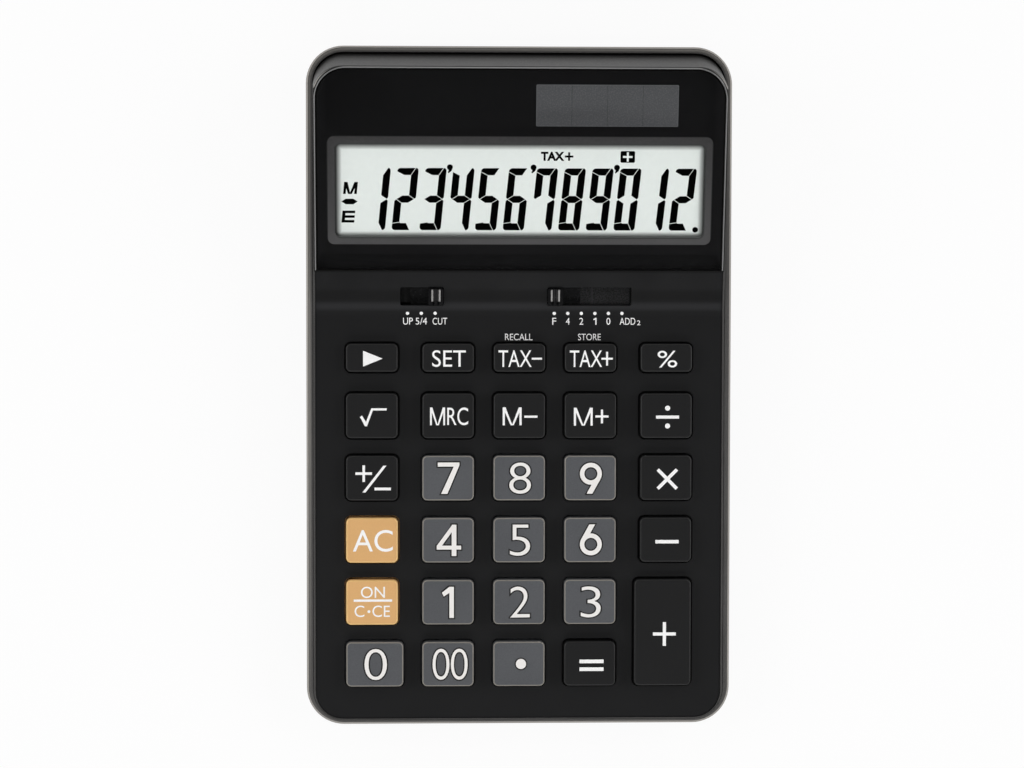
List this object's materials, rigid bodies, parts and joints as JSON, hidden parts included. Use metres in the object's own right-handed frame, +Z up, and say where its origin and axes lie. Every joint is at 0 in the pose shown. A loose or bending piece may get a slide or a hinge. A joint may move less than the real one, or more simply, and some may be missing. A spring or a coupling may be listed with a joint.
{
  "type": "desk calculator",
  "caption": "Wedge-shaped desk calculator: tilted liquid-crystal display, solar cell, sprung keys in a black panel, two slide switches, dark grey case on rubber feet.",
  "frame": {"origin": "centre of the footprint, on the plane of the desk", "axes": "+X to the right as the user sees the keys, +Y from the keys towards the display, +Z up"},
  "size_m": [0.108, 0.172, 0.0333],
  "materials": {
    "bezel": "mid grey, satin",
    "board": "black solder mask",
    "case": "dark grey metallic moulding, fine matt texture",
    "clear_key": "tan orange, satin",
    "feet": "black rubber",
    "function_key": "black, satin",
    "glass": "reflective display cell behind glass",
    "knob": "black, polished",
    "lens": "clear acrylic over black print, polished",
    "number_key": "dark grey, fine satin texture",
    "panel": "black, fine matt texture",
    "print": "black screen print",
    "resin": "black epoxy",
    "rubber": "grey silicone",
    "solar": "dark coated glass",
    "steel": "bright plated steel"
  },
  "bodies": {
    "root": {"battery_contact_minus": "steel", "battery_contact_plus": "steel", "battery_cover": "case", "board_screws": "steel", "button_cell": "steel", "case_screws": "steel", "controller_chip": "resin", "display_bezel": "bezel", "display_connector": "rubber", "display_glass": "glass", "display_lens": "lens", "front_case": "case", "keypad_mat": "rubber", "keypad_panel": "panel", "lens_mask": "print", "main_board": "board", "rear_case": "case", "rubber_feet": "feet", "solar_cell": "solar"},
    "key_all_clear": {"key_all_clear": "clear_key"},
    "key_backspace": {"key_backspace": "function_key"},
    "key_divide": {"key_divide": "function_key"},
    "key_double_zero": {"key_double_zero": "number_key"},
    "key_eight": {"key_eight": "number_key"},
    "key_equals": {"key_equals": "function_key"},
    "key_five": {"key_five": "number_key"},
    "key_four": {"key_four": "number_key"},
    "key_memory_minus": {"key_memory_minus": "function_key"},
    "key_memory_plus": {"key_memory_plus": "function_key"},
    "key_memory_recall": {"key_memory_recall": "function_key"},
    "key_minus": {"key_minus": "function_key"},
    "key_nine": {"key_nine": "number_key"},
    "key_on_clear": {"key_on_clear": "clear_key"},
    "key_one": {"key_one": "number_key"},
    "key_percent": {"key_percent": "function_key"},
    "key_plus": {"key_plus": "function_key"},
    "key_point": {"key_point": "number_key"},
    "key_root": {"key_root": "function_key"},
    "key_set": {"key_set": "function_key"},
    "key_seven": {"key_seven": "number_key"},
    "key_sign": {"key_sign": "function_key"},
    "key_six": {"key_six": "number_key"},
    "key_tax_minus": {"key_tax_minus": "function_key"},
    "key_tax_plus": {"key_tax_plus": "function_key"},
    "key_three": {"key_three": "number_key"},
    "key_times": {"key_times": "function_key"},
    "key_two": {"key_two": "number_key"},
    "key_zero": {"key_zero": "number_key"},
    "rounding_switch": {"rounding_knob": "knob", "rounding_wiper": "steel"},
    "decimal_switch": {"decimal_knob": "knob", "decimal_wiper": "steel"}
  },
  "joints": [
    {"name": "press_all_clear", "type": "slide", "parent": "root", "child": "key_all_clear", "axis": [0, 0.0698, -0.9976], "range_m": [0, 0.0014], "stiffness_N_per_m": 250, "springref_m": -0.0012, "deforming": ["keypad_mat"]},
    {"name": "press_backspace", "type": "slide", "parent": "root", "child": "key_backspace", "axis": [0, 0.0698, -0.9976], "range_m": [0, 0.0014], "stiffness_N_per_m": 250, "springref_m": -0.0012, "deforming": ["keypad_mat"]},
    {"name": "press_divide", "type": "slide", "parent": "root", "child": "key_divide", "axis": [0, 0.0698, -0.9976], "range_m": [0, 0.0014], "stiffness_N_per_m": 250, "springref_m": -0.0012, "deforming": ["keypad_mat"]},
    {"name": "press_double_zero", "type": "slide", "parent": "root", "child": "key_double_zero", "axis": [0, 0.0698, -0.9976], "range_m": [0, 0.0014], "stiffness_N_per_m": 250, "springref_m": -0.0012, "deforming": ["keypad_mat"]},
    {"name": "press_eight", "type": "slide", "parent": "root", "child": "key_eight", "axis": [0, 0.0698, -0.9976], "range_m": [0, 0.0014], "stiffness_N_per_m": 250, "springref_m": -0.0012, "deforming": ["keypad_mat"]},
    {"name": "press_equals", "type": "slide", "parent": "root", "child": "key_equals", "axis": [0, 0.0698, -0.9976], "range_m": [0, 0.0014], "stiffness_N_per_m": 250, "springref_m": -0.0012, "deforming": ["keypad_mat"]},
    {"name": "press_five", "type": "slide", "parent": "root", "child": "key_five", "axis": [0, 0.0698, -0.9976], "range_m": [0, 0.0014], "stiffness_N_per_m": 250, "springref_m": -0.0012, "deforming": ["keypad_mat"]},
    {"name": "press_four", "type": "slide", "parent": "root", "child": "key_four", "axis": [0, 0.0698, -0.9976], "range_m": [0, 0.0014], "stiffness_N_per_m": 250, "springref_m": -0.0012, "deforming": ["keypad_mat"]},
    {"name": "press_memory_minus", "type": "slide", "parent": "root", "child": "key_memory_minus", "axis": [0, 0.0698, -0.9976], "range_m": [0, 0.0014], "stiffness_N_per_m": 250, "springref_m": -0.0012, "deforming": ["keypad_mat"]},
    {"name": "press_memory_plus", "type": "slide", "parent": "root", "child": "key_memory_plus", "axis": [0, 0.0698, -0.9976], "range_m": [0, 0.0014], "stiffness_N_per_m": 250, "springref_m": -0.0012, "deforming": ["keypad_mat"]},
    {"name": "press_memory_recall", "type": "slide", "parent": "root", "child": "key_memory_recall", "axis": [0, 0.0698, -0.9976], "range_m": [0, 0.0014], "stiffness_N_per_m": 250, "springref_m": -0.0012, "deforming": ["keypad_mat"]},
    {"name": "press_minus", "type": "slide", "parent": "root", "child": "key_minus", "axis": [0, 0.0698, -0.9976], "range_m": [0, 0.0014], "stiffness_N_per_m": 250, "springref_m": -0.0012, "deforming": ["keypad_mat"]},
    {"name": "press_nine", "type": "slide", "parent": "root", "child": "key_nine", "axis": [0, 0.0698, -0.9976], "range_m": [0, 0.0014], "stiffness_N_per_m": 250, "springref_m": -0.0012, "deforming": ["keypad_mat"]},
    {"name": "press_on_clear", "type": "slide", "parent": "root", "child": "key_on_clear", "axis": [0, 0.0698, -0.9976], "range_m": [0, 0.0014], "stiffness_N_per_m": 250, "springref_m": -0.0012, "deforming": ["keypad_mat"]},
    {"name": "press_one", "type": "slide", "parent": "root", "child": "key_one", "axis": [0, 0.0698, -0.9976], "range_m": [0, 0.0014], "stiffness_N_per_m": 250, "springref_m": -0.0012, "deforming": ["keypad_mat"]},
    {"name": "press_percent", "type": "slide", "parent": "root", "child": "key_percent", "axis": [0, 0.0698, -0.9976], "range_m": [0, 0.0014], "stiffness_N_per_m": 250, "springref_m": -0.0012, "deforming": ["keypad_mat"]},
    {"name": "press_plus", "type": "slide", "parent": "root", "child": "key_plus", "axis": [0, 0.0698, -0.9976], "range_m": [0, 0.0014], "stiffness_N_per_m": 250, "springref_m": -0.0012, "deforming": ["keypad_mat"]},
    {"name": "press_point", "type": "slide", "parent": "root", "child": "key_point", "axis": [0, 0.0698, -0.9976], "range_m": [0, 0.0014], "stiffness_N_per_m": 250, "springref_m": -0.0012, "deforming": ["keypad_mat"]},
    {"name": "press_root", "type": "slide", "parent": "root", "child": "key_root", "axis": [0, 0.0698, -0.9976], "range_m": [0, 0.0014], "stiffness_N_per_m": 250, "springref_m": -0.0012, "deforming": ["keypad_mat"]},
    {"name": "press_set", "type": "slide", "parent": "root", "child": "key_set", "axis": [0, 0.0698, -0.9976], "range_m": [0, 0.0014], "stiffness_N_per_m": 250, "springref_m": -0.0012, "deforming": ["keypad_mat"]},
    {"name": "press_seven", "type": "slide", "parent": "root", "child": "key_seven", "axis": [0, 0.0698, -0.9976], "range_m": [0, 0.0014], "stiffness_N_per_m": 250, "springref_m": -0.0012, "deforming": ["keypad_mat"]},
    {"name": "press_sign", "type": "slide", "parent": "root", "child": "key_sign", "axis": [0, 0.0698, -0.9976], "range_m": [0, 0.0014], "stiffness_N_per_m": 250, "springref_m": -0.0012, "deforming": ["keypad_mat"]},
    {"name": "press_six", "type": "slide", "parent": "root", "child": "key_six", "axis": [0, 0.0698, -0.9976], "range_m": [0, 0.0014], "stiffness_N_per_m": 250, "springref_m": -0.0012, "deforming": ["keypad_mat"]},
    {"name": "press_tax_minus", "type": "slide", "parent": "root", "child": "key_tax_minus", "axis": [0, 0.0698, -0.9976], "range_m": [0, 0.0014], "stiffness_N_per_m": 250, "springref_m": -0.0012, "deforming": ["keypad_mat"]},
    {"name": "press_tax_plus", "type": "slide", "parent": "root", "child": "key_tax_plus", "axis": [0, 0.0698, -0.9976], "range_m": [0, 0.0014], "stiffness_N_per_m": 250, "springref_m": -0.0012, "deforming": ["keypad_mat"]},
    {"name": "press_three", "type": "slide", "parent": "root", "child": "key_three", "axis": [0, 0.0698, -0.9976], "range_m": [0, 0.0014], "stiffness_N_per_m": 250, "springref_m": -0.0012, "deforming": ["keypad_mat"]},
    {"name": "press_times", "type": "slide", "parent": "root", "child": "key_times", "axis": [0, 0.0698, -0.9976], "range_m": [0, 0.0014], "stiffness_N_per_m": 250, "springref_m": -0.0012, "deforming": ["keypad_mat"]},
    {"name": "press_two", "type": "slide", "parent": "root", "child": "key_two", "axis": [0, 0.0698, -0.9976], "range_m": [0, 0.0014], "stiffness_N_per_m": 250, "springref_m": -0.0012, "deforming": ["keypad_mat"]},
    {"name": "press_zero", "type": "slide", "parent": "root", "child": "key_zero", "axis": [0, 0.0698, -0.9976], "range_m": [0, 0.0014], "stiffness_N_per_m": 250, "springref_m": -0.0012, "deforming": ["keypad_mat"]},
    {"name": "rounding_slide", "type": "slide", "parent": "root", "child": "rounding_switch", "axis": [1, 0, 0], "range_m": [-0.007, 0]},
    {"name": "decimal_slide", "type": "slide", "parent": "root", "child": "decimal_switch", "axis": [1, 0, 0], "range_m": [0, 0.01735]}
  ]
}
